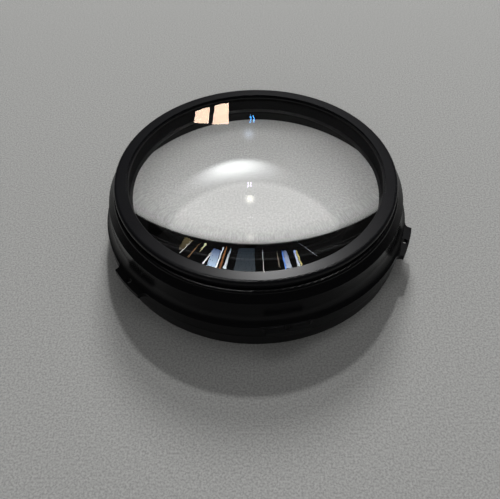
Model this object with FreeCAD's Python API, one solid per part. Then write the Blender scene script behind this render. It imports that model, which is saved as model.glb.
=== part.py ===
import FreeCAD, Part
import math
import os

# Large objective lens held in a black ring-shaped cell with six mounting lugs.
# Millimetres. Origin at the centre of the rear face, +Z towards the front rim.

# glass: flat front face, strongly curved back
glass_radius = 80.0
glass_centre_thickness = 43.0
glass_back_curve = 148.0
glass_bevel = 0.5
apex_clearance = 2.6
glass_gap = 0.9
contact_gap = 0.03

# front ring: lip over the glass, skirt with the thread, neck and overhanging flat rim
rim_recess = 2.4
rim_thickness = 2.8
rim_rounding = 2.0
rim_overhang = 1.6
rim_step = 0.8
lip_cover = 0.8
lip_thickness = 0.7
seal_thickness = 0.7
seal_show = 0.6
seal_outer_gap = 0.2
skirt_wall = 3.8
skirt_depth = 8.2
skirt_foot_gap = 0.2
thread_gap = 0.1
neck_step = 1.3

# outside of the cell, stacked up from the rear face
ring_thickness = 8.3
joint_width = 2.3
flange_thickness = 8.2
cove_height = 8.2
wall_height = 8.5
cone_height = 5.7
edge_break = 0.3

# outside of the cell, stepped outwards from the neck
shoulder_step = 2.9
shoulder_rounding = 1.6
cone_flare = 3.6
wall_draft = 0.2
flange_projection = 3.9

# ledge that carries the glass, its gasket, and the pads round the edge of the glass
seat_cover = 2.3
seat_thickness = 2.4
seat_slope_height = 1.4
gasket_thickness = 1.0
pad_height = 6.0
pad_gap = 0.1
pad_count = 3
pad_half_angle = 5.0
pad_first_angle = 40.0

# lugs of the flange
lug_count = 6
lug_first_angle = -20.0
lug_projection = 4.2
lug_half_width = 12.5
lug_thickness = 3.2
lug_rise = 0.4
lug_fillet = 3.5
lug_corner = 0.5
lug_root_depth = 6.6
lug_hole_radius = 1.8
lug_hole_wall = 1.0

# rear ring with its spigot, and the gasket in the parting groove
ring_inset = 1.3
ring_width = 10.8
spigot_wall = 3.5
spigot_height = 5.7
spigot_gap = 0.1
spigot_top_gap = 0.2
joint_groove_depth = 2.4

# screws that hold the rear ring to the cell
screw_count = 6
screw_first_angle = 10.0
screw_wall = 1.2
screw_radius = 1.5
screw_length = 16.0
screw_hole_gap = 0.2
head_radius = 2.75
head_height = 3.0
head_recess = 0.5
socket_flat = 2.5
socket_depth = 1.6
counterbore_gap = 0.35
washer_radius = 2.8
washer_thickness = 1.0
washer_slit = 0.5
thread_engagement_gap = 0.05

# heights that follow
joint_top = ring_thickness + joint_width
flange_top = joint_top + flange_thickness
cove_top = flange_top + cove_height
cone_foot = cove_top + wall_height
shoulder_top = cone_foot + cone_height
glass_front = apex_clearance + glass_centre_thickness
rim_top = glass_front + rim_recess
skirt_foot = shoulder_top - skirt_depth
spigot_top = ring_thickness + spigot_height
lug_top = flange_top + lug_rise

# radii that follow
pocket_radius = glass_radius + glass_gap
thread_radius = pocket_radius + skirt_wall
neck_radius = thread_radius + neck_step
rim_radius = neck_radius + rim_overhang
shoulder_radius = neck_radius + shoulder_step
cone_foot_radius = shoulder_radius + cone_flare
wall_foot_radius = cone_foot_radius + wall_draft
flange_radius = wall_foot_radius + flange_projection
lug_radius = flange_radius + lug_projection
lug_hole_circle = lug_radius - lug_hole_wall - lug_hole_radius
lip_radius = glass_radius - lip_cover
seat_radius = glass_radius - seat_cover
rear_ring_radius = flange_radius - ring_inset
rear_bore_radius = rear_ring_radius - ring_width
spigot_radius = rear_bore_radius + spigot_wall
recess_radius = spigot_radius + spigot_gap
screw_circle = spigot_radius + screw_wall + screw_hole_gap + screw_radius

up = FreeCAD.Vector(0, 0, 1)
origin = FreeCAD.Vector(0, 0, 0)
full_turn = 360.0


def point(radius, height):
    return FreeCAD.Vector(radius, 0, height)


def turned(points):
    """Solid of revolution about Z from a closed outline of (radius, height) pairs."""
    outline = [point(r, z) for r, z in points]
    outline.append(outline[0])
    face = Part.Face(Part.makePolygon(outline))
    return face.revolve(origin, up, full_turn)


def turned_edges(edges):
    """Solid of revolution about Z from a closed loop of edges."""
    face = Part.Face(Part.Wire(Part.__sortEdges__(edges)))
    return face.revolve(origin, up, full_turn)


def lines(points):
    """Straight edges that join the given vectors in order."""
    pairs = zip(points[:-1], points[1:])
    return [Part.LineSegment(a, b).toShape() for a, b in pairs]


def arc_about(centre, radius, start, end):
    """Arc in the XZ plane about a centre, from one angle to another in radians."""
    spots = []
    for angle in (start, (start + end) / 2, end):
        spots.append(point(centre[0] + radius * math.cos(angle), centre[1] + radius * math.sin(angle)))
    return Part.Arc(*spots).toShape()


def around(shape, count, first_angle):
    """Copies of a shape spaced evenly about Z, the first one turned to first_angle."""
    copies = []
    for i in range(count):
        copy = shape.copy()
        copy.rotate(origin, up, first_angle + i * full_turn / count)
        copies.append(copy)
    return copies


def tube(outer, inner, foot, top):
    """Plain ring between two radii and two heights."""
    return turned([(inner, foot), (outer, foot), (outer, top), (inner, top)])


def glass_back_height(radius):
    """Height of the curved back of the glass at a radius."""
    return apex_clearance + glass_back_curve - math.sqrt(glass_back_curve ** 2 - radius ** 2)


def flange_cove():
    """Concave sweep from the foot of the wall out to the top edge of the flange."""
    radius = (flange_projection ** 2 + cove_height ** 2) / (2 * flange_projection)
    centre = (wall_foot_radius + radius, cove_top)
    return arc_about(centre, radius, math.pi, math.pi + math.asin(cove_height / radius))


def lug():
    """Thin plate lug on +X: parallel sides that run into the flange through concave fillets."""
    spread = lug_half_width + lug_fillet
    reach = math.sqrt((flange_radius + lug_fillet) ** 2 - spread ** 2)
    shrink = flange_radius / (flange_radius + lug_fillet)
    tip = math.sqrt(lug_radius ** 2 - lug_half_width ** 2)
    middle = math.atan2(spread, reach) / 2 + math.pi / 4
    half = FreeCAD.Vector(tip, lug_half_width, 0)
    side_end = FreeCAD.Vector(reach, lug_half_width, 0)
    touch = FreeCAD.Vector(reach * shrink, spread * shrink, 0)
    bulge = FreeCAD.Vector(reach - lug_fillet * math.cos(middle), spread - lug_fillet * math.sin(middle), 0)
    inner = touch * ((flange_radius - lug_root_depth) / flange_radius)
    mirror = [FreeCAD.Vector(v.x, -v.y, 0) for v in (half, side_end, bulge, touch, inner)]
    edges = [Part.Arc(mirror[0], FreeCAD.Vector(lug_radius, 0, 0), half).toShape()]
    edges += lines([half, side_end]) + lines([mirror[0], mirror[1]])
    edges += [Part.Arc(side_end, bulge, touch).toShape(), Part.Arc(mirror[1], mirror[2], mirror[3]).toShape()]
    edges += lines([touch, inner, mirror[4], mirror[3]])
    face = Part.Face(Part.Wire(Part.__sortEdges__(edges)))
    plate = face.extrude(up * lug_thickness)
    plate.translate(up * (lug_top - lug_thickness))
    corners = [e for e in plate.Edges if is_lug_corner(e)]
    return plate.makeFillet(lug_corner, corners)


def is_lug_corner(edge):
    """True for the two upright edges at the outer end of a lug."""
    upright = abs(edge.BoundBox.ZLength - lug_thickness) < contact_gap and edge.BoundBox.XLength < contact_gap
    spot = edge.CenterOfMass
    return upright and abs(math.hypot(spot.x, spot.y) - lug_radius) < contact_gap


def lug_holes():
    """Through holes for the mounting screws."""
    hole = Part.makeCylinder(lug_hole_radius, lug_thickness * 2, FreeCAD.Vector(lug_hole_circle, 0, 0), up)
    hole.translate(up * (lug_top - lug_thickness * 1.5))
    return around(hole, lug_count, lug_first_angle)


def cell_ring():
    """Turned body of the cell: cone, straight wall, cove, flange, ledge and bores."""
    counterbore = thread_radius + thread_gap
    seat = seat_height()
    ledge_foot = seat - seat_thickness
    corner = (shoulder_radius - shoulder_rounding, shoulder_top - shoulder_rounding)
    rounding = arc_about(corner, shoulder_rounding, math.pi / 2, 0)
    outside = [point(shoulder_radius, shoulder_top - shoulder_rounding),
               point(cone_foot_radius, cone_foot),
               point(wall_foot_radius, cove_top)]
    flange = [point(flange_radius, flange_top),
              point(flange_radius, joint_top + edge_break),
              point(flange_radius - edge_break, joint_top)]
    inside = [point(recess_radius, joint_top),
              point(recess_radius, spigot_top + spigot_top_gap),
              point(rear_bore_radius, spigot_top + spigot_top_gap),
              point(rear_bore_radius, ledge_foot - seat_slope_height),
              point(seat_radius, ledge_foot),
              point(seat_radius, seat),
              point(pocket_radius, seat),
              point(pocket_radius, skirt_foot - skirt_foot_gap),
              point(counterbore, skirt_foot - skirt_foot_gap),
              point(counterbore, shoulder_top),
              point(shoulder_radius - shoulder_rounding, shoulder_top)]
    edges = [rounding] + lines(outside) + [flange_cove()] + lines(flange + inside)
    return turned_edges(edges)


def lens_cell():
    """Cell body with its six lugs, mounting holes and tapped holes for the rear ring."""
    body = cell_ring()
    for plate in around(lug(), lug_count, lug_first_angle):
        body = body.fuse(plate)
    body = body.removeSplitter()
    for hole in lug_holes():
        body = body.cut(hole)
    tapped = screw_radius + thread_engagement_gap
    top = head_recess + head_height + screw_length
    for hole in screw_holes(tapped, ring_thickness, top + edge_break):
        body = body.cut(hole)
    return body


def front_ring():
    """Threaded front ring: overhanging flat rim with a rounded edge, neck, skirt and inner lip."""
    lip_foot = glass_front + seal_thickness
    rim_bore = lip_radius + rim_step
    rim_flat = rim_radius - rim_rounding
    rim_foot = rim_top - rim_thickness
    rounding = arc_about((rim_flat, rim_top - rim_rounding), rim_rounding, math.pi / 2, 0)
    outside = [point(rim_radius, rim_top - rim_rounding),
               point(rim_radius, rim_foot),
               point(neck_radius, rim_foot),
               point(neck_radius, shoulder_top),
               point(thread_radius, shoulder_top),
               point(thread_radius, skirt_foot),
               point(pocket_radius, skirt_foot),
               point(pocket_radius, lip_foot),
               point(lip_radius, lip_foot),
               point(lip_radius, lip_foot + lip_thickness),
               point(rim_bore, lip_foot + lip_thickness),
               point(rim_bore, rim_top),
               point(rim_flat, rim_top)]
    return turned_edges([rounding] + lines(outside))


def front_seal():
    """Flat seal clamped between the glass and the lip of the front ring."""
    outer = pocket_radius - seal_outer_gap
    foot = glass_front + contact_gap
    top = glass_front + seal_thickness - contact_gap
    return tube(outer, lip_radius - seal_show, foot, top)


def objective_glass():
    """Thick plano-convex lens: flat front, ground edge, spherical back."""
    rim = glass_back_height(glass_radius - glass_bevel)
    apex = glass_back_height(0)
    half = glass_back_height(glass_radius / 2)
    dome = Part.Arc(point(glass_radius - glass_bevel, rim), point(glass_radius / 2, half), point(0, apex))
    sides = [point(0, apex),
             point(0, glass_front),
             point(glass_radius - glass_bevel, glass_front),
             point(glass_radius, glass_front - glass_bevel),
             point(glass_radius, rim + glass_bevel),
             point(glass_radius - glass_bevel, rim)]
    return turned_edges([dome.toShape()] + lines(sides))


def seat_gasket():
    """Ring under the glass, its inner slope shaped to the back of the lens."""
    inner = seat_radius + contact_gap
    outer = pocket_radius - contact_gap
    slope_end = glass_radius - glass_bevel
    low = glass_back_height(inner) - contact_gap
    high = glass_back_height(slope_end) - contact_gap
    foot = seat_height()
    return turned([(inner, foot), (outer, foot), (outer, high), (slope_end, high), (inner, low)])


def seat_height():
    """Height of the ledge, one gasket below the back of the glass at the edge of its bore."""
    return glass_back_height(seat_radius + contact_gap) - contact_gap - gasket_thickness


def gasket_top_height():
    """Height of the flat top of the seat gasket."""
    return glass_back_height(glass_radius - glass_bevel) - contact_gap


def centring_pads():
    """Thin pads in the gap round the glass that keep it central in the cell."""
    inner = glass_radius + contact_gap
    outer = pocket_radius - pad_gap
    foot = gasket_top_height()
    top = foot + pad_height
    corners = [point(inner, foot), point(outer, foot), point(outer, top), point(inner, top)]
    face = Part.Face(Part.makePolygon(corners + corners[:1]))
    face.rotate(origin, up, -pad_half_angle)
    pad = face.revolve(origin, up, 2 * pad_half_angle)
    return around(pad, pad_count, pad_first_angle)


def joint_gasket():
    """Flat gasket in the parting groove between the cell and the rear ring."""
    ring = tube(flange_radius - joint_groove_depth, recess_radius, ring_thickness, joint_top)
    for hole in screw_holes(screw_radius + screw_hole_gap, 0, joint_top * 2):
        ring = ring.cut(hole)
    return ring


def screw_holes(radius, foot, top):
    """Upright holes on the screw circle of the rear ring."""
    hole = Part.makeCylinder(radius, top - foot, point(screw_circle, foot), up)
    return around(hole, screw_count, screw_first_angle)


def rear_ring():
    """Rear ring with a spigot that centres it in the cell and counterbored screw holes."""
    outline = [(rear_bore_radius + edge_break, 0),
               (rear_ring_radius - edge_break, 0),
               (rear_ring_radius, edge_break),
               (rear_ring_radius, ring_thickness - edge_break),
               (rear_ring_radius - edge_break, ring_thickness),
               (spigot_radius, ring_thickness),
               (spigot_radius, spigot_top),
               (rear_bore_radius, spigot_top),
               (rear_bore_radius, edge_break)]
    ring = turned(outline)
    seat = head_recess + head_height + washer_thickness
    for hole in screw_holes(screw_radius + screw_hole_gap, 0, ring_thickness * 2):
        ring = ring.cut(hole)
    for hole in screw_holes(head_radius + counterbore_gap, 0, seat):
        ring = ring.cut(hole)
    return ring


def socket_head_screw():
    """Socket-head screw, head down, with its axis on the screw circle at +X."""
    foot = head_recess
    head = Part.makeCylinder(head_radius, head_height, point(screw_circle, foot), up)
    shank = Part.makeCylinder(screw_radius, screw_length, point(screw_circle, foot + head_height), up)
    corner = socket_flat / math.sqrt(3)
    corners = []
    for i in range(6 + 1):
        angle = i * math.pi / 3
        corners.append(FreeCAD.Vector(screw_circle + corner * math.cos(angle), corner * math.sin(angle), foot))
    socket = Part.Face(Part.makePolygon(corners)).extrude(up * socket_depth)
    rim = [e for e in head.Edges if abs(e.BoundBox.ZMax - foot) < contact_gap]
    return head.makeChamfer(edge_break, rim).fuse(shank).removeSplitter().cut(socket)


def lock_washer():
    """Split lock washer under a screw head."""
    foot = head_recess + head_height
    centre = point(screw_circle, foot)
    ring = Part.makeCylinder(washer_radius, washer_thickness, centre, up)
    ring = ring.cut(Part.makeCylinder(screw_radius + screw_hole_gap, washer_thickness, centre, up))
    corner = FreeCAD.Vector(screw_circle, -washer_slit / 2, foot)
    return ring.cut(Part.makeBox(washer_radius * 2, washer_slit, washer_thickness, corner))


def save(name, shape):
    """Write one sub-part, checked to be a single sound solid."""
    solid = shape.Solids[0]
    if len(shape.Solids) != 1 or not solid.isValid():
        raise ValueError(name + " is not one sound solid")
    solid.exportStep("parts/" + name + ".step")
    print(name, round(solid.Volume), "mm3")


def save_each(name, shapes):
    """Write a numbered sub-part for each of a set of like pieces."""
    for number, shape in enumerate(shapes, start=1):
        save(name + "_" + str(number), shape)


os.makedirs("parts", exist_ok=True)
save("lens_cell", lens_cell())
save("front_ring", front_ring())
save("front_seal", front_seal())
save("objective_glass", objective_glass())
save("seat_gasket", seat_gasket())
save("joint_gasket", joint_gasket())
save("rear_ring", rear_ring())
save_each("centring_pad", centring_pads())
save_each("ring_screw", around(socket_head_screw(), screw_count, screw_first_angle))
save_each("lock_washer", around(lock_washer(), screw_count, screw_first_angle))
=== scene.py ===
"""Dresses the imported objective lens: finishes for the cell, a polished lens with a blacked edge, screws
and washers with their real detail, and a small studio with the camera."""

import math

import bpy
import numpy as np
from bpy.props import FloatProperty, FloatVectorProperty, IntProperty, PointerProperty
from mathutils import Euler, Matrix, Vector


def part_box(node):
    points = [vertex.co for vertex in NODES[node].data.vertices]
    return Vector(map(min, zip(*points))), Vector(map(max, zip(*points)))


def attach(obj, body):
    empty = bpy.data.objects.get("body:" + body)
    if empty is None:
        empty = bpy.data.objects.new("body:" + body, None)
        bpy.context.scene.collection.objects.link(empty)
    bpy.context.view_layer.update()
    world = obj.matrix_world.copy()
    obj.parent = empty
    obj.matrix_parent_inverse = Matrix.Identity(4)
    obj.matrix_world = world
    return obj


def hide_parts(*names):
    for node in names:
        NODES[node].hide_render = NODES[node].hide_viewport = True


bl_info = {
    "name": "Objective lens",
    "version": (1, 0, 0),
    "blender": (4, 5, 0),
    "location": "View3D > Sidebar > Lens",
    "description": "Finishes, lens, screws and studio for a large objective lens in a black cell",
    "category": "Object",
}

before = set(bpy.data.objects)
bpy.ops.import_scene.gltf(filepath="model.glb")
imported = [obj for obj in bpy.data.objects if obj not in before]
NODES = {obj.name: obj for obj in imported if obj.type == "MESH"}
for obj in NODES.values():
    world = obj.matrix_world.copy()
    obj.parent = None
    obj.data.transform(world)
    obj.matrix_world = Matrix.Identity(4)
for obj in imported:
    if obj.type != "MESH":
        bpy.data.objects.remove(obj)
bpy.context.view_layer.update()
SCREWS = sorted(n for n in NODES if n.startswith("ring_screw_"))
WASHERS = sorted(n for n in NODES if n.startswith("lock_washer_"))
SEALS = sorted(n for n in NODES if n.endswith(("_seal", "_gasket")) or n.startswith("centring_pad_"))

# Camera: place in metres, turn about each axis in degrees, focal length and sensor width in millimetres
CAMERA_PLACE = (0.0, -0.28006, 0.2984)
CAMERA_TURN = (40.7481, 0.721, 0.048)
FOCAL_LENGTH = 43.2
SENSOR_WIDTH = 36.0

# The picture, in pixels: its width and the point straight ahead of the camera. Breadth of a pixel on the
# front of the lens, in metres
PICTURE_WIDTH = 500
PICTURE_CENTRE = (250.0, 249.3)
PIXEL = 0.00063

# Radii inside which the cell and the rear ring are matte, in metres
CELL_BORE = 0.0855
RING_BORE = 0.0847

# Painted light under the lens, a glow of the floor itself, in metres: the centre, radius and soft edge of
# the glowing disc, and the radius and soft edge of the whole glowing floor
PAINTED_DISC_CENTRE = (-0.002, -0.0417, 0.0)
PAINTED_DISC_RADIUS = 0.0607
PAINTED_DISC_EDGE = (0.0580, 0.0635)
PAINTED_GLOW_RADIUS = 0.08
PAINTED_GLOW_EDGE = (0.0835, 0.0855)

# Mirrored windows, by the pixels of their corners: upper left, upper right, lower right, lower left
WINDOWS = (((196.2, 109.0), (209.8, 104.8), (208.6, 123.2), (193.8, 122.6)),
           ((215.2, 103.2), (228.8, 100.4), (228.6, 123.8), (212.2, 124.2)))
WINDOW_TONE = (1.0, 0.72, 0.54)
WINDOW_GLOW = 17.0

# Mirrored tubes: pixel column, upper and lower pixel row, colour, glow
BLUE = (0.08, 0.40, 1.0)
VIOLET = (0.85, 0.75, 1.0)
TUBES = (("blue_tube_1", 250.6, 115.2, 122.6, BLUE, 22.0),
         ("blue_tube_2", 253.7, 115.2, 122.6, BLUE, 22.0),
         ("violet_tube_1", 248.2, 181.6, 187.0, VIOLET, 26.0),
         ("violet_tube_2", 250.8, 181.6, 187.0, VIOLET, 26.0))

# Mirrored round lamps: elevation and spread in degrees, colour, glow
LAMP_AZIMUTH = -0.8
LAMP_DISCS = (("lamp_disc_1", 44.64, 0.36, (1.0, 0.97, 0.88), 12.0),
              ("lamp_disc_2", 38.4, 0.45, (0.70, 0.82, 1.0), 4.5),
              ("lamp_disc_3", 48.4, 0.35, (1.0, 0.98, 0.9), 3.0))

# Mirrored crescent on the front of the lens, in metres: its span across, the top of its upper edge, how
# fast that edge falls to the sides, its depth, and the middle and spread of its brightness
CRESCENT_SPAN = (-0.062, 0.045)
CRESCENT_TOP = (-0.0059, 0.0137)
CRESCENT_BEND = 13.1
CRESCENT_DEPTH = 0.0142
CRESCENT_MIDDLE = -0.0129
CRESCENT_SPREAD = 0.0189
CRESCENT_TONE = (0.97, 1.0, 1.0)
CRESCENT_GLOW = 13.5

# Mirrored bars: pixels of both ends, half widths there in pixels, colours there
BAR_GLOW = 19.0
BARS = (
    ((189.5, 238.5), (180.0, 249.5), 4.3, 1.8, (0.10, 0.08, 0.04), (0.06, 0.05, 0.03)),
    ((192.5, 239.5), (180.5, 252.5), 0.4, 0.5, (0.20, 0.20, 0.18), (0.60, 0.60, 0.55)),
    ((200.0, 243.0), (188.0, 257.0), 0.4, 0.5, (0.10, 0.06, 0.03), (0.25, 0.15, 0.08)),
    ((206.0, 243.5), (200.0, 251.0), 1.2, 0.4, (0.60, 0.60, 0.35), (0.30, 0.28, 0.15)),
    ((211.5, 252.0), (202.0, 264.5), 0.5, 0.8, (0.50, 0.50, 0.45), (1.00, 1.00, 1.00)),
    ((217.0, 249.0), (210.5, 267.5), 3.6, 4.0, (0.05, 0.08, 0.18), (0.60, 0.78, 1.00)),
    ((223.5, 247.0), (215.5, 268.5), 0.4, 0.7, (0.60, 0.70, 0.80), (1.00, 1.00, 1.00)),
    ((226.5, 247.0), (219.5, 268.5), 0.7, 1.0, (0.22, 0.09, 0.03), (0.25, 0.10, 0.04)),
    ((230.5, 249.0), (223.5, 271.0), 0.5, 1.5, (0.20, 0.25, 0.30), (0.90, 0.95, 1.00)),
    ((246.5, 248.0), (244.5, 271.5), 7.0, 9.5, (0.015, 0.022, 0.03), (0.05, 0.06, 0.07)),
    ((262.5, 250.0), (263.8, 271.0), 0.35, 0.5, (0.15, 0.16, 0.18), (0.60, 0.60, 0.60)),
    ((277.0, 251.0), (279.5, 267.0), 0.35, 0.5, (0.08, 0.07, 0.06), (0.30, 0.25, 0.20)),
    ((282.0, 250.5), (286.0, 268.5), 0.5, 0.8, (0.05, 0.15, 0.60), (0.20, 0.40, 1.00)),
    ((284.5, 250.5), (289.5, 268.0), 1.4, 2.6, (0.10, 0.13, 0.25), (0.50, 0.55, 0.65)),
    ((294.0, 250.0), (299.5, 266.5), 0.8, 1.2, (0.30, 0.40, 0.80), (0.70, 0.75, 0.80)),
    ((296.0, 250.0), (302.0, 265.5), 0.5, 0.7, (0.50, 0.40, 0.10), (0.70, 0.60, 0.25)),
    ((297.0, 241.5), (316.5, 255.5), 0.3, 0.4, (0.05, 0.06, 0.08), (0.25, 0.27, 0.30)),
    ((247.0, 217.0), (253.0, 217.0), 0.35, 0.35, (0.25, 0.25, 0.25), (0.25, 0.25, 0.25)),
)


# Sizes and colours that a user may change

class LensFinish(bpy.types.PropertyGroup):
    """Finishes of the cell and the glass."""
    cell_color: FloatVectorProperty(
        name="Cell", description="Colour of the anodised cell", subtype="COLOR", size=4, min=0, max=1,
        default=(0.0025, 0.0025, 0.003, 1))
    rim_color: FloatVectorProperty(
        name="Front rim", description="Colour of the anodised front ring",
        subtype="COLOR", size=4, min=0, max=1, default=(0.005, 0.005, 0.006, 1))
    ring_color: FloatVectorProperty(
        name="Rear ring", description="Colour of the anodised rear ring",
        subtype="COLOR", size=4, min=0, max=1, default=(0.004, 0.004, 0.0046, 1))
    rim_roughness: FloatProperty(
        name="Rim roughness", description="How widely the turned front face spreads a light",
        subtype="FACTOR", min=0, max=1, default=0.26)
    cell_roughness: FloatProperty(
        name="Cell roughness", description="How widely the cell spreads a light",
        subtype="FACTOR", min=0, max=1, default=0.26)
    index: FloatProperty(
        name="Refractive index", description="Refractive index of the glass", min=1, max=2, default=1.5)
    coating: FloatProperty(
        name="Coating", description="Reflection left by the coating, where 0.5 is bare glass",
        subtype="FACTOR", min=0, max=0.5, default=0.25)
    back_curve: FloatProperty(
        name="Back curve", description="Radius of the back surface of the lens",
        unit="LENGTH", min=0.09, max=1, default=0.148)
    bevel: FloatProperty(
        name="Edge bevel", description="Width of the ground bevels of the lens", unit="LENGTH", min=0.0001,
        max=0.002, default=0.0005)


class ScrewSizes(bpy.types.PropertyGroup):
    """Details of the screws and washers that the CAD leaves plain."""
    head_height: FloatProperty(
        name="Head height", description="Height of the screw head", unit="LENGTH", min=0.001, max=0.01,
        default=0.003)
    shank_radius: FloatProperty(
        name="Shank radius", description="Outer radius of the thread", unit="LENGTH", min=0.0005, max=0.005,
        default=0.0015)
    socket_flat: FloatProperty(
        name="Socket", description="Width of the hexagon socket across its flats", unit="LENGTH", min=0.001,
        max=0.006, default=0.0025)
    socket_depth: FloatProperty(
        name="Socket depth", description="Depth of the hexagon socket", unit="LENGTH", min=0.0005,
        max=0.005, default=0.0016)
    pitch: FloatProperty(
        name="Pitch", description="Rise of the thread for each turn", unit="LENGTH", min=0.0002, max=0.002,
        default=0.0005)
    flutes: IntProperty(
        name="Flutes", description="Number of grooves round the head", min=8, max=60, default=24)
    flute_depth: FloatProperty(
        name="Flute depth", description="Depth of the grooves round the head",
        unit="LENGTH", min=0.0, max=0.0005, default=0.00014)
    washer_rise: FloatProperty(
        name="Washer rise", description="Height that the ends of the washer spring apart",
        unit="LENGTH", min=0, max=0.001, default=0.00018)
    washer_slit: FloatProperty(
        name="Washer slit", description="Gap between the ends of the washer",
        unit="LENGTH", min=0.0001, max=0.002, default=0.0005)


class StudioLevels(bpy.types.PropertyGroup):
    """Levels of the lights, each as the brightness that it gives a white floor, and of the painted glow of
    the floor under the lens.
    """
    lamp: FloatProperty(
        name="Lamp", description="Lamp behind the lens", min=0, max=2, default=0.22)
    low_lamp: FloatProperty(
        name="Low lamp", description="Wide soft lamp behind the lens", min=0, max=2, default=0.38)
    overhead: FloatProperty(
        name="Overhead", description="Long soft light above the right side", min=0, max=2, default=0.10)
    top_strip: FloatProperty(
        name="Top strip", description="Narrow light straight above the front, for edges only", min=0, max=2,
        default=0.7)
    front_fill: FloatProperty(
        name="Front fill", description="Wide soft light low in front", min=0, max=2, default=0.05)
    surround: FloatProperty(
        name="Surround", description="Even light from all round", min=0, max=1, default=0.12)
    # Painted light: strength of the floor's glowing disc under the lens, standing in for the light that the
    # lens gathers
    painted_disc_glow: FloatProperty(
        name="Gathered light", description="Light that the lens gathers on the floor below it", min=0,
        max=1, default=0.135)
    # Painted light: strength of the floor's even glow under the lens, standing in for the light that the
    # lens passes
    painted_even_glow: FloatProperty(
        name="Passed light", description="Even light that the lens passes to the floor below it",
        min=0, max=1, default=0.095)
    floor_color: FloatVectorProperty(
        name="Floor", description="Colour of the floor board", subtype="COLOR", size=4, min=0, max=1,
        default=(0.385, 0.385, 0.375, 1))


# Node helpers

class Graph:
    """A material, light or world node tree with short calls to add and join nodes."""

    def __init__(self, tree):
        self.tree = tree
        tree.nodes.clear()

    def add(self, kind, inputs=None, **settings):
        """New node; inputs maps socket names or numbers to values or to output sockets."""
        node = self.tree.nodes.new(kind)
        for key, value in settings.items():
            setattr(node, key, value)
        for key, value in (inputs or {}).items():
            socket = node.inputs[key]
            if isinstance(value, bpy.types.NodeSocket):
                self.tree.links.new(value, socket)
            else:
                socket.default_value = value
        return node

    def math(self, operation, a, b=0.0):
        """One arithmetic step."""
        return self.add("ShaderNodeMath", {0: a, 1: b}, operation=operation).outputs[0]

    def ramp(self, value, low, high, to_low=0.0, to_high=1.0):
        """Value mapped smoothly from one range to another, clamped."""
        inputs = {0: value, 1: low, 2: high, 3: to_low, 4: to_high}
        node = self.add("ShaderNodeMapRange", inputs, clamp=True, interpolation_type="SMOOTHSTEP")
        return node.outputs[0]

    def noise(self, vector, scale, detail=3.0, rough=0.5):
        """Fractal noise from 0 to 1."""
        inputs = {"Vector": vector, "Scale": scale, "Detail": detail, "Roughness": rough}
        return self.add("ShaderNodeTexNoise", inputs).outputs[0]

    def blend(self, factor, a, b):
        """Mix of two colours."""
        return self.add("ShaderNodeMix", {0: factor, 6: a, 7: b}, data_type="RGBA").outputs[2]

    def joined(self, x, y, z):
        """Vector from three values."""
        return self.add("ShaderNodeCombineXYZ", {0: x, 1: y, 2: z}).outputs[0]

    def cylindrical(self):
        """Object coordinates, and the same split into radius, turn in radians and height."""
        place = self.add("ShaderNodeTexCoord").outputs["Object"]
        x, y, z = self.add("ShaderNodeSeparateXYZ", {0: place}).outputs
        square = self.math("ADD", self.math("MULTIPLY", x, x), self.math("MULTIPLY", y, y))
        radius = self.math("SQRT", square)
        return place, radius, self.math("ARCTAN2", y, x), z

    def bump(self, height, strength, distance):
        """Normal of a surface that is raised by the height."""
        inputs = {"Height": height, "Strength": strength, "Distance": distance}
        return self.add("ShaderNodeBump", inputs).outputs[0]

    def principled(self, inputs):
        """Principled shader."""
        return self.add("ShaderNodeBsdfPrincipled", inputs).outputs[0]

    def surface(self, shader):
        """Joins a shader to the output."""
        self.add("ShaderNodeOutputMaterial", {0: shader})


def new_material(name):
    """Empty node material and its graph."""
    material = bpy.data.materials.new(name)
    material.use_nodes = True
    return material, Graph(material.node_tree)


def wear(names, material):
    """Puts one material on the slots of CAD nodes."""
    for name in names:
        slots = NODES[name].data.materials
        if len(slots) == 0:
            slots.append(material)
        for i in range(len(slots)):
            slots[i] = material


def scaled(color, factor):
    """The colour times a factor, opaque."""
    return [c * factor for c in color[:3]] + [1.0]


# Finishes

def anodised(name, color, roughness, specular, groove, bore=0.0):
    """Black anodised aluminium, turned on a lathe: fine rings of tool marks that follow radius and
    height, an etched grain, slow changes of tone, and specks of dust. Inside the bore radius it is a
    deeper, matte black."""
    material, g = new_material(name)
    place, radius, turn, height = g.cylindrical()
    rings = g.joined(g.math("MULTIPLY", radius, 7000.0), g.math("MULTIPLY", height, 7000.0),
                     g.math("MULTIPLY", turn, 0.35))
    lathe = g.noise(rings, 1.0, 2.0)
    grain = g.noise(place, 5200.0, 2.0)
    cloud = g.noise(place, 38.0, 4.0)
    dust = g.ramp(g.noise(place, 2600.0, 1.0), 0.74, 0.80)
    tone = g.blend(g.math("MULTIPLY", cloud, 0.6), color, scaled(color, 1.7))
    tone = g.blend(g.math("MULTIPLY", dust, 0.08), tone, (0.20, 0.20, 0.20, 1.0))
    rough = g.math("ADD", roughness - 0.03, g.math("MULTIPLY", g.math("ADD", cloud, lathe), 0.03))
    inside = g.ramp(radius, bore, bore + 0.0004, 1.0, 0.0)
    tone = g.blend(inside, tone, scaled(color, 0.3))
    rough = g.math("MAXIMUM", rough, g.math("MULTIPLY", inside, 0.9))
    relief = g.math("ADD", g.math("MULTIPLY", lathe, groove), g.math("MULTIPLY", grain, 0.35))
    g.surface(g.principled({"Base Color": tone, "Roughness": rough, "Specular IOR Level": specular,
                            "Normal": g.bump(relief, 0.08, 0.00002)}))
    return material


def rubber(name, color):
    """Matte black rubber with a fine moulded grain."""
    material, g = new_material(name)
    place = g.add("ShaderNodeTexCoord").outputs["Object"]
    tone = g.blend(g.noise(place, 120.0, 3.0), color, scaled(color, 1.6))
    grain = g.noise(place, 3500.0, 3.0)
    g.surface(g.principled({"Base Color": tone, "Roughness": 0.75, "Specular IOR Level": 0.3,
                            "Normal": g.bump(grain, 0.25, 0.00004)}))
    return material


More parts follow.
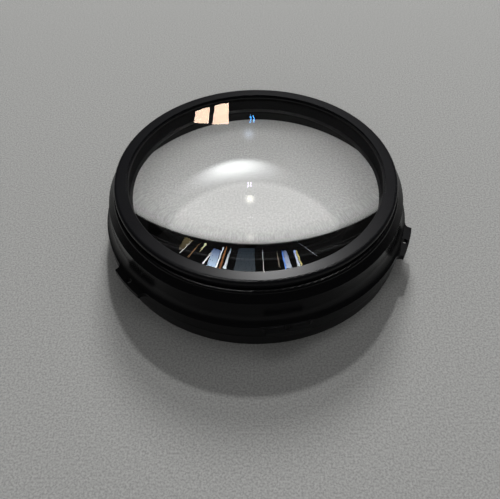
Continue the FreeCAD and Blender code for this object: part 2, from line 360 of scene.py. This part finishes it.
def steel(name, color, roughness):
    """Machined steel with fine scratches and an uneven tone."""
    material, g = new_material(name)
    place = g.add("ShaderNodeTexCoord").outputs["Object"]
    scratch = g.noise(place, 4200.0, 4.0, 0.7)
    cloud = g.noise(place, 700.0, 3.0)
    tone = g.blend(cloud, color, scaled(color, 0.6))
    rough = g.math("ADD", roughness - 0.05, g.math("MULTIPLY", cloud, 0.15))
    g.surface(g.principled({"Base Color": tone, "Metallic": 1.0, "Roughness": rough,
                            "Normal": g.bump(scratch, 0.2, 0.00002)}))
    return material


def polished_glass(name, index, coating):
    """Clear coated glass. For the light that falls straight through to the floor it is a grey window."""
    material, g = new_material(name)
    glass = g.principled({"Base Color": (1, 1, 1, 1), "Roughness": 0.0, "IOR": index,
                          "Specular IOR Level": coating, "Transmission Weight": 1.0})
    clear = g.add("ShaderNodeBsdfTransparent", {0: (0.3, 0.3, 0.3, 1.0)}).outputs[0]
    shadow = g.add("ShaderNodeLightPath").outputs["Is Shadow Ray"]
    g.surface(g.add("ShaderNodeMixShader", {0: shadow, 1: glass, 2: clear}).outputs[0])
    return material


def blacked_edge(name):
    """Ground edge of the lens under matte black paint, with fine upright brush marks."""
    material, g = new_material(name)
    place, radius, turn, height = g.cylindrical()
    along = g.joined(g.math("MULTIPLY", turn, 300.0), g.math("MULTIPLY", height, 8.0), 0.0)
    marks = g.noise(along, 1.0, 3.0, 0.7)
    tone = g.blend(marks, (0.001, 0.001, 0.001, 1.0), (0.008, 0.008, 0.009, 1.0))
    g.surface(g.principled({"Base Color": tone, "Roughness": 0.8, "Specular IOR Level": 0.05,
                            "Normal": g.bump(marks, 0.2, 0.00003)}))
    return material


# Surfaces from numpy arrays

def turned(name, radius, height, turns, centre=(0.0, 0.0), start=0.0):
    """Closed mesh of a turned surface. A point at row i and turn t lies at radius[i](t) from the upright
    axis through the centre, and at height[i]. The first and last rows are single points on the axis. The
    rows run from the bottom of the axis outwards and up, so that the faces point outwards."""
    t = start + np.linspace(0.0, 2.0 * np.pi, turns, endpoint=False)
    radius = np.broadcast_to(radius, (len(radius), turns))
    height = np.broadcast_to(height, (len(height), turns))
    rows = len(radius) - 2
    grid = np.stack([centre[0] + radius * np.cos(t), centre[1] + radius * np.sin(t), height], -1)
    points = np.vstack([grid[1:-1].reshape(-1, 3), grid[0, :1], grid[-1, :1]])
    i, j = np.meshgrid(np.arange(rows - 1), np.arange(turns), indexing="ij")
    k = (j + 1) % turns
    below, above = i * turns, (i + 1) * turns
    quads = np.stack([below + j, below + k, above + k, above + j], -1).reshape(-1, 4)
    j = np.arange(turns)
    k = (j + 1) % turns
    first = np.stack([np.full(turns, rows * turns), k, j], -1)
    last = np.stack([np.full(turns, rows * turns + 1), (rows - 1) * turns + j, (rows - 1) * turns + k], -1)
    mesh = bpy.data.meshes.new(name)
    mesh.from_pydata(points.tolist(), [], quads.tolist() + first.tolist() + last.tolist())
    return mesh


def add_piece(name, mesh, materials, node, sharp=35.0):
    """New piece in the frame: smooth shading with sharp edges above an angle, and its materials."""
    mesh.polygons.foreach_set("use_smooth", np.ones(len(mesh.polygons), bool))
    mesh.set_sharp_from_angle(angle=math.radians(sharp))
    for material in materials:
        mesh.materials.append(material)
    mesh.update()
    piece = bpy.data.objects.new(name, mesh)
    bpy.context.scene.collection.objects.link(piece)
    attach(piece, "root")
    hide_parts(node)
    return piece


def middle(low, high):
    """Centre of a box in plan."""
    return (low.x + high.x) / 2, (low.y + high.y) / 2


def lens_rows(low, high, curve, bevel):
    """Rows of the lens: the back is a sphere, height = curve - sqrt(curve^2 - radius^2) above its lowest
    point, the edge is upright, the front is flat, and a quarter-round bevel joins them at both ends of
    the edge."""
    edge = (high.x - low.x) / 2
    r = np.linspace(0.0, edge - bevel, 60)
    back = low.z + curve - np.sqrt(curve ** 2 - r ** 2)
    q = np.linspace(0.1, 1.0, 5) * np.pi / 2
    lower = np.stack([edge - bevel + bevel * np.sin(q), back[-1] + bevel * (1 - np.cos(q))], -1)
    upper = np.stack([edge - bevel + bevel * np.cos(q), high.z - bevel + bevel * np.sin(q)], -1)
    front = np.linspace(edge - bevel - 0.0004, 0.0, 24)
    rows = [np.stack([r, back], -1), lower, [[edge, high.z - bevel]], upper,
            np.stack([front, np.full(24, high.z)], -1)]
    return np.concatenate(rows)


def screw_rows(sizes, low, high, turns):
    """Rows of a socket-head screw, head down. The socket's radius is flat / 2 / cos(turn from the nearest
    flat), the head's side is its radius less a cosine of the turn for the flutes, and the thread is the
    shank's radius less a triangle wave of height / pitch - turn / (2 pi)."""
    t = np.linspace(0.0, 2.0 * np.pi, turns, endpoint=False)
    one = np.ones(turns)
    foot, top, head = low.z, high.z, (high.x - low.x) / 2
    socket = sizes.socket_flat / 2 / np.cos(np.mod(t + np.pi / 6, np.pi / 3) - np.pi / 6)
    flutes = head - sizes.flute_depth / 2 * (1 + np.cos(sizes.flutes * t))
    neck = foot + sizes.head_height
    floor = foot + sizes.socket_depth
    rows = [(0 * one, floor + 0.0003), (socket * 0.6, floor + 0.0001), (socket, floor),
            (socket, floor - 0.0001), (socket, foot + 0.00025), (socket, foot + 0.00015),
            (socket + 0.00015, foot), (socket + 0.0002, foot), ((head - 0.0004) * one, foot),
            ((head - 0.0003) * one, foot), (flutes - 0.0001, foot + 0.0002)]
    rows += [(flutes, foot + h) for h in np.linspace(0.0003, sizes.head_height - 0.00035, 5)]
    shank = sizes.shank_radius
    rows += [((head - 0.00005) * one, neck - 0.0003), ((head - 0.00005) * one, neck - 0.0001),
             ((head - 0.0002) * one, neck), (shank * one + 0.0001, neck), (shank * one, neck + 0.0001),
             (shank * one, neck + 0.0010)]
    heights = np.arange(neck + 0.0012, top - 0.0007, sizes.pitch / 4)
    wave = np.abs(np.mod(heights[:, None] / sizes.pitch - t / (2 * np.pi), 1.0) * 2 - 1)
    rows += list(zip(shank - 0.55 * sizes.pitch * wave, heights))
    core = shank - 0.6 * sizes.pitch
    rows += [(core * one, top - 0.0004), ((core - 0.0001) * one, top - 0.0002),
             ((core - 0.0004) * one, top), (0 * one, top)]
    radius = np.stack([np.asarray(r) * one for r, h in rows])
    height = np.stack([h * one for r, h in rows])
    return radius, height


def split_washer(name, centre, low, high, sizes):
    """Split spring washer: a rounded rectangle carried round the axis from one side of the slit to the
    other, while its height climbs by the rise. The two ends are closed, and the slit faces away from the
    lens's axis."""
    rise = sizes.washer_rise
    inner = sizes.shank_radius + 0.0002
    outer = (high.x - low.x) / 2
    thick = high.z - low.z - rise
    corner = 0.00012
    q = np.linspace(0.0, np.pi / 2, 4)
    quarter = np.stack([np.cos(q), np.sin(q)], -1)
    section = []
    for sx, sy in ((1, 1), (-1, 1), (-1, -1), (1, -1)):
        part = quarter if sx * sy > 0 else quarter[::-1]
        section.append(np.stack([sx * ((outer - inner) / 2 - corner + corner * part[:, 0]),
                                 sy * (thick / 2 - corner + corner * part[:, 1])], -1))
    section = np.concatenate(section)
    n, m = len(section), 72
    half = sizes.washer_slit / 2 / outer
    s = np.linspace(0.0, 1.0, m)
    t = math.atan2(centre[1], centre[0]) + half + s * (2 * np.pi - 2 * half)
    r = (inner + outer) / 2 + section[:, 0]
    lift = low.z + thick / 2 + rise * s
    grid = np.stack([centre[0] + r * np.cos(t)[:, None], centre[1] + r * np.sin(t)[:, None],
                     lift[:, None] + section[:, 1]], -1)
    i, j = np.meshgrid(np.arange(m - 1), np.arange(n), indexing="ij")
    k = (j + 1) % n
    quads = np.stack([i * n + j, (i + 1) * n + j, (i + 1) * n + k, i * n + k], -1).reshape(-1, 4)
    mesh = bpy.data.meshes.new(name)
    mesh.from_pydata(grid.reshape(-1, 3).tolist(), [],
                     quads.tolist() + [list(range(n)), list(range(m * n - 1, (m - 1) * n - 1, -1))])
    return mesh


# Studio

def toward(azimuth, elevation, distance):
    """Points at a distance in a direction: azimuth from +Y towards +X, and elevation, in degrees. Arrays
    are allowed."""
    a, e = np.radians(azimuth), np.radians(elevation)
    return np.stack([np.sin(a) * np.cos(e), np.cos(a) * np.cos(e), np.sin(e)], -1) * distance


def floor_material(color, painted_even_glow, painted_disc_glow):
    """Pale grey board with a faint grain. Under the lens it glows with painted light in place of the light
    that the lens brings there: an even part that rises with the square of the radius, and a disc, off the
    axis, that is brightest just inside its own edge."""
    material, g = new_material("floor_board")
    place, radius, turn, height = g.cylindrical()
    grain = g.noise(place, 900.0, 3.0, 0.6)
    tone = g.blend(g.ramp(grain, 0.3, 0.7), scaled(color, 0.78), scaled(color, 1.22))
    speck = g.ramp(g.noise(place, 1500.0, 2.0, 0.7), 0.3, 0.7, 0.94, 1.06)
    # Painted light: the floor's emission under the lens, an even part and an off-axis disc, with a faint
    # speckle
    away = g.add("ShaderNodeVectorMath", {0: place, 1: PAINTED_DISC_CENTRE}, operation="DISTANCE").outputs["Value"]
    rim = g.math("POWER", g.math("DIVIDE", away, PAINTED_DISC_RADIUS), 6.0)
    disc = g.math("MULTIPLY", g.ramp(away, *PAINTED_DISC_EDGE, 1.0, 0.0),
                  g.math("ADD", 0.8, g.math("MULTIPLY", 0.4, rim)))
    square = g.math("POWER", g.math("DIVIDE", radius, PAINTED_GLOW_RADIUS), 2.0)
    even = g.math("ADD", 1.0, g.math("MULTIPLY", 0.35, square))
    under = g.ramp(radius, *PAINTED_GLOW_EDGE, 1.0, 0.0)
    light = g.math("ADD", g.math("MULTIPLY", even, painted_even_glow), g.math("MULTIPLY", disc, painted_disc_glow))
    light = g.math("MULTIPLY", g.math("MULTIPLY", light, under), speck)
    g.surface(g.principled({"Base Color": tone, "Roughness": 0.9, "Specular IOR Level": 0.2,
                            "Emission Color": (1.0, 1.0, 0.97, 1.0), "Emission Strength": light}))
    return material


def make_floor(color, painted_even_glow, painted_disc_glow):
    """Square floor just under the part."""
    half = 4.0
    corners = [(-half, -half, 0), (half, -half, 0), (half, half, 0), (-half, half, 0)]
    mesh = bpy.data.meshes.new("floor")
    mesh.from_pydata(corners, [], [(0, 1, 2, 3)])
    mesh.materials.append(floor_material(color, painted_even_glow, painted_disc_glow))
    floor = bpy.data.objects.new("floor", mesh)
    floor.location.z = -0.0001
    bpy.context.scene.collection.objects.link(floor)


def area_lamp(name, place, target, level, size, size_y=None, along=(1.0, 0.0, 0.0)):
    """Disc or rectangular lamp whose power gives a white floor the level: pi^2 * level * distance^2 /
    sine of its elevation. The long side of a rectangle follows the given direction. The lamp doesn't show
    as a shape in a mirror-smooth surface."""
    data = bpy.data.lights.new(name, "AREA")
    data.shape = "DISK" if size_y is None else "RECTANGLE"
    data.size = size
    if size_y is not None:
        data.size_y = size_y
    place = Vector(place)
    away = place - Vector(target)
    data.energy = math.pi ** 2 * level * away.length ** 2 / (away.z / away.length)
    data.cycles.use_multiple_importance_sampling = False
    light = bpy.data.objects.new(name, data)
    light.location = place
    z = away.normalized()
    y = z.cross(Vector(along)).normalized()
    light.rotation_euler = Matrix((y.cross(z), y, z)).transposed().to_euler()
    bpy.context.scene.collection.objects.link(light)
    return light


def card(name, points, glow, strength):
    """Glowing sheet over a grid of points that only the first turn of a sharp reflection sees. The glow
    is one colour or one for each point."""
    m, n = points.shape[:2]
    i, j = np.meshgrid(np.arange(m - 1), np.arange(n - 1), indexing="ij")
    here, next_row = i * n + j, (i + 1) * n + j
    quads = np.stack([here, next_row, next_row + 1, here + 1], -1).reshape(-1, 4)
    mesh = bpy.data.meshes.new(name)
    mesh.from_pydata(points.reshape(-1, 3).tolist(), [], quads.tolist())
    color = np.ones((m * n, 4))
    color[:, :3] = np.broadcast_to(glow, (m, n, 3)).reshape(-1, 3)
    mesh.attributes.new("glow", "FLOAT_COLOR", "POINT").data.foreach_set("color", color.ravel())
    material, g = new_material(name)
    tone = g.add("ShaderNodeAttribute", attribute_name="glow").outputs["Color"]
    ray = g.add("ShaderNodeLightPath").outputs
    turns = ray["Glossy Depth"]
    first = g.math("MULTIPLY", g.math("GREATER_THAN", turns, 0.5), g.math("LESS_THAN", turns, 1.5))
    gate = g.math("MULTIPLY", first, ray["Is Singular Ray"])
    lit = g.add("ShaderNodeEmission", {"Color": tone, "Strength": g.math("MULTIPLY", gate, strength)})
    g.surface(lit.outputs[0])
    mesh.materials.append(material)
    sheet = bpy.data.objects.new(name, mesh)
    bpy.context.scene.collection.objects.link(sheet)
    sheet.visible_camera = False
    sheet.visible_diffuse = False
    sheet.visible_transmission = False
    sheet.visible_shadow = False


def camera_turn():
    """Turn of the camera, in radians about each axis."""
    return Euler([math.radians(angle) for angle in CAMERA_TURN])


def on_front(pixels):
    """Places on the flat front of the lens that the camera sees at the given pixels. The line of sight
    through a pixel is (pixel - centre) / focal length aside for each step ahead, and it ends at the
    height of the front."""
    focus = PICTURE_WIDTH * FOCAL_LENGTH / SENSOR_WIDTH
    aside = (np.array(pixels, float) - PICTURE_CENTRE) / focus
    ahead = np.stack([aside[:, 0], -aside[:, 1], -np.ones(len(aside))], -1)
    line = ahead @ np.array(camera_turn().to_matrix()).T
    steps = (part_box("objective_glass")[1].z - CAMERA_PLACE[2]) / line[:, 2:]
    return np.array(CAMERA_PLACE[:2]) + line[:, :2] * steps


def mirrored(places, distance=8.0):
    """Far points whose images in the flat front of the lens are seen at the given places on that face.
    The line from the camera to a place turns upwards there."""
    front = np.full((len(places), 1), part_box("objective_glass")[1].z)
    places = np.hstack([places, front])
    line = places - np.array(CAMERA_PLACE)
    line /= np.linalg.norm(line, axis=1)[:, None]
    return places + line * np.array((1.0, 1.0, -1.0)) * distance


def four_sided(corners):
    """Grid of two by two far points, mirrored at the pixels of four corners that are given in turn."""
    a, b, c, d = mirrored(on_front(corners))
    return np.array([[a, d], [b, c]])


def window_cards():
    """Two tall windows of warm light, mirrored near the back of the lens."""
    for i, corners in enumerate(WINDOWS):
        card("window_card_%d" % (i + 1), four_sided(corners), WINDOW_TONE, WINDOW_GLOW)


def tube_cards():
    """Two pairs of thin tubes, blue and violet, mirrored in the lens, each one pixel wide."""
    for name, column, top, bottom, tone, strength in TUBES:
        left, right = column - 0.5, column + 0.5
        card(name, four_sided(((left, top), (right, top), (right, bottom), (left, bottom))), tone, strength)


def lamp_discs():
    """Far lamps mirrored in the front of the lens: round soft glows, each a bell curve of the distance
    from its centre."""
    turn = np.linspace(0.0, 2 * np.pi, 33)[:, None]
    r = np.linspace(0.0, 3.0, 16)[None, :]
    bell = np.exp(-r ** 2)[..., None] * np.ones((33, 1, 1))
    for name, elevation, spread, tone, strength in LAMP_DISCS:
        across = spread * r * np.cos(turn) / math.cos(math.radians(elevation))
        points = toward(LAMP_AZIMUTH + across, elevation + spread * r * np.sin(turn), 12.0)
        card(name, points, bell * np.array(tone), strength)


def fixture_card():
    """Soft ceiling light mirrored in the lens as a crescent: across, a bell curve of x; down from an
    upper edge that falls with the square of x, a quick smooth rise and a slow bell-shaped fall."""
    count = 60
    x = np.linspace(*CRESCENT_SPAN, count)[:, None]
    s = np.linspace(-0.3, 2.3, count)[None, :]
    y = CRESCENT_TOP[1] - CRESCENT_BEND * (x - CRESCENT_TOP[0]) ** 2 - CRESCENT_DEPTH * s
    rise = np.clip((s + 0.18) / 0.5, 0.0, 1.0)
    down = rise ** 2 * (3 - 2 * rise) * np.exp(-(np.maximum(s - 0.4, 0.0) / 0.72) ** 2)
    glow = np.exp(-((x - CRESCENT_MIDDLE) / CRESCENT_SPREAD) ** 2) * down
    places = np.stack([np.broadcast_to(x, y.shape), y], -1).reshape(-1, 2)
    points = mirrored(places).reshape(count, count, 3)
    card("fixture_card", points, glow[..., None] * np.array(CRESCENT_TONE), CRESCENT_GLOW)


def bar_cards():
    """Row of thin coloured bars mirrored near the front of the lens. Each bar runs from one place to
    another on the front face, with a half width and a colour at each end."""
    for i, (start, end, half_1, half_2, tone_1, tone_2) in enumerate(BARS):
        a, b = on_front((start, end))
        run = b - a
        side = np.array((-run[1], run[0])) / np.hypot(*run) * PIXEL
        places = (a - side * half_1, a + side * half_1, b - side * half_2, b + side * half_2)
        tones = np.array(((tone_1, tone_1), (tone_2, tone_2)))
        card("bar_card_%d" % (i + 1), mirrored(places).reshape(2, 2, 3), tones, BAR_GLOW)


def make_world(level):
    """Even pale surroundings, 0.4 as bright in reflections and 0.02 as bright inside the glass."""
    world = bpy.data.worlds.new("studio")
    world.use_nodes = True
    bpy.context.scene.world = world
    g = Graph(world.node_tree)
    ray = g.add("ShaderNodeLightPath").outputs
    in_mirrors = g.math("SUBTRACT", 1.0, g.math("MULTIPLY", ray["Is Glossy Ray"], 0.6))
    in_glass = g.math("SUBTRACT", 1.0, g.math("MULTIPLY", ray["Is Transmission Ray"], 0.98))
    strength = g.math("MULTIPLY", g.math("MULTIPLY", level, in_mirrors), in_glass)
    back = g.add("ShaderNodeBackground", {"Color": (1.0, 1.0, 1.0, 1.0), "Strength": strength})
    g.add("ShaderNodeOutputWorld", {0: back.outputs[0]})


def make_camera():
    """Camera at the photograph's place and angle."""
    data = bpy.data.cameras.new("camera")
    data.sensor_fit = "HORIZONTAL"
    data.sensor_width = SENSOR_WIDTH
    data.lens = FOCAL_LENGTH
    data.clip_start, data.clip_end = 0.01, 20.0
    camera = bpy.data.objects.new("camera", data)
    camera.location = CAMERA_PLACE
    camera.rotation_euler = camera_turn()
    bpy.context.scene.collection.objects.link(camera)
    bpy.context.scene.camera = camera


def make_lamps(levels):
    """Two lamps behind the lens, a long one above the right side, a wide fill in front and a narrow strip
    above."""
    base = (0.0, 0.0, 0.0)
    area_lamp("lamp", toward(3.0, 50.5, 3.0), base, levels.lamp, 0.14)
    low_lamp = area_lamp("low_lamp", toward(3.0, 36.0, 3.0), base, levels.low_lamp, 0.8)
    low_lamp.visible_glossy = False
    shoulder, rim = (0.0, 0.0, 0.02), (0.0, 0.0, 0.04)
    area_lamp("overhead", toward(48.0, 68.0, 1.28), shoulder, levels.overhead, 1.2, 0.34, (1.0, 0.35, 0.0))
    front_fill = area_lamp("front_fill", toward(180.0, 30.0, 3.0), base, levels.front_fill, 1.6)
    front_fill.visible_glossy = False
    top_strip = area_lamp("top_strip", toward(180.0, 82.0, 1.6), rim, levels.top_strip, 1.6, 0.4)
    top_strip.visible_diffuse = False


# Operators

class OBJECTIVE_LENS_OT_studio(bpy.types.Operator):
    """Adds the floor, the lights, the cards and the camera"""
    bl_idname = "objective_lens.studio"
    bl_label = "Studio"

    def execute(self, context):
        levels = context.scene.studio_levels
        make_world(levels.surround)
        make_floor(levels.floor_color, levels.painted_even_glow, levels.painted_disc_glow)
        make_lamps(levels)
        fixture_card()
        window_cards()
        tube_cards()
        lamp_discs()
        bar_cards()
        make_camera()
        context.scene.view_settings.view_transform = "Standard"
        return {"FINISHED"}


class OBJECTIVE_LENS_OT_cell(bpy.types.Operator):
    """Gives the cell, the rings and the seals their finishes"""
    bl_idname = "objective_lens.cell"
    bl_label = "Cell"

    def execute(self, context):
        f = context.scene.lens_finish
        cell = anodised("cell_black", f.cell_color, f.cell_roughness, 0.16, groove=0.22, bore=CELL_BORE)
        rim = anodised("rim_black", f.rim_color, f.rim_roughness, 0.15, groove=0.30)
        ring = anodised("ring_black", f.ring_color, 0.34, 0.3, groove=0.22, bore=RING_BORE)
        wear(["lens_cell"], cell)
        wear(["front_ring"], rim)
        wear(["rear_ring"], ring)
        wear(SEALS, rubber("seal_rubber", (0.006, 0.006, 0.006, 1.0)))
        return {"FINISHED"}


class OBJECTIVE_LENS_OT_glass(bpy.types.Operator):
    """Makes the polished lens with its blacked edge"""
    bl_idname = "objective_lens.glass"
    bl_label = "Glass"

    def execute(self, context):
        f = context.scene.lens_finish
        low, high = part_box("objective_glass")
        rows = lens_rows(low, high, f.back_curve, f.bevel)
        mesh = turned("polished_lens", rows[:, :1], rows[:, 1:], 256)
        centres = np.empty(len(mesh.polygons) * 3)
        mesh.polygons.foreach_get("center", centres)
        centres = centres.reshape(-1, 3)
        edge = (high.x - low.x) / 2 - f.bevel
        painted = np.hypot(centres[:, 0], centres[:, 1]) > edge
        mesh.polygons.foreach_set("material_index", painted.astype(np.int32))
        finishes = [polished_glass("lens_glass", f.index, f.coating), blacked_edge("lens_edge")]
        add_piece("polished_lens", mesh, finishes, "objective_glass", 60.0)
        return {"FINISHED"}


class OBJECTIVE_LENS_OT_screws(bpy.types.Operator):
    """Makes the socket-head screws of the rear ring"""
    bl_idname = "objective_lens.screws"
    bl_label = "Screws"

    def execute(self, context):
        sizes = context.scene.screw_sizes
        black_oxide = steel("screw_steel", (0.05, 0.05, 0.055, 1.0), 0.4)
        turns = 96
        for node in SCREWS:
            low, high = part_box(node)
            centre = middle(low, high)
            radius, height = screw_rows(sizes, low, high, turns)
            mesh = turned(node + "_detail", radius, height, turns, centre, math.atan2(centre[1], centre[0]))
            add_piece(node + "_detail", mesh, [black_oxide], node, 32.0)
        return {"FINISHED"}


class OBJECTIVE_LENS_OT_washers(bpy.types.Operator):
    """Makes the split washers under the screw heads"""
    bl_idname = "objective_lens.washers"
    bl_label = "Washers"

    def execute(self, context):
        sizes = context.scene.screw_sizes
        zinc = steel("washer_steel", (0.45, 0.45, 0.46, 1.0), 0.35)
        for node in WASHERS:
            centre = middle(*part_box(node.replace("lock_washer", "ring_screw")))
            low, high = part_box(node)
            mesh = split_washer(node + "_detail", centre, low, high, sizes)
            add_piece(node + "_detail", mesh, [zinc], node, 40.0)
        return {"FINISHED"}


class OBJECTIVE_LENS_PT_panel(bpy.types.Panel):
    """Sizes, colours and steps of the objective lens"""
    bl_idname = "OBJECTIVE_LENS_PT_panel"
    bl_label = "Objective lens"
    bl_space_type = "VIEW_3D"
    bl_region_type = "UI"
    bl_category = "Lens"

    def draw(self, context):
        for group in GROUPS:
            owner = getattr(context.scene, group)
            box = self.layout.box()
            for name in owner.bl_rna.properties.keys():
                if name not in ("rna_type", "name"):
                    box.prop(owner, name)
        for step in STEPS:
            self.layout.operator("objective_lens." + step)


STEPS = ("studio", "cell", "glass", "screws", "washers")
GROUPS = {"lens_finish": LensFinish, "screw_sizes": ScrewSizes, "studio_levels": StudioLevels}
CLASSES = tuple(GROUPS.values()) + (
    OBJECTIVE_LENS_OT_studio, OBJECTIVE_LENS_OT_cell, OBJECTIVE_LENS_OT_glass, OBJECTIVE_LENS_OT_screws,
    OBJECTIVE_LENS_OT_washers, OBJECTIVE_LENS_PT_panel)


def register():
    """Adds the classes and the scene's settings."""
    for entry in CLASSES:
        bpy.utils.register_class(entry)
    for name, group in GROUPS.items():
        setattr(bpy.types.Scene, name, PointerProperty(type=group))


def unregister():
    """Takes them out again."""
    for name in GROUPS:
        delattr(bpy.types.Scene, name)
    for entry in reversed(CLASSES):
        bpy.utils.unregister_class(entry)


def main():
    """Runs every step."""
    register()
    for step in STEPS:
        getattr(bpy.ops.objective_lens, step)()


if __name__ == "__main__":
    main()
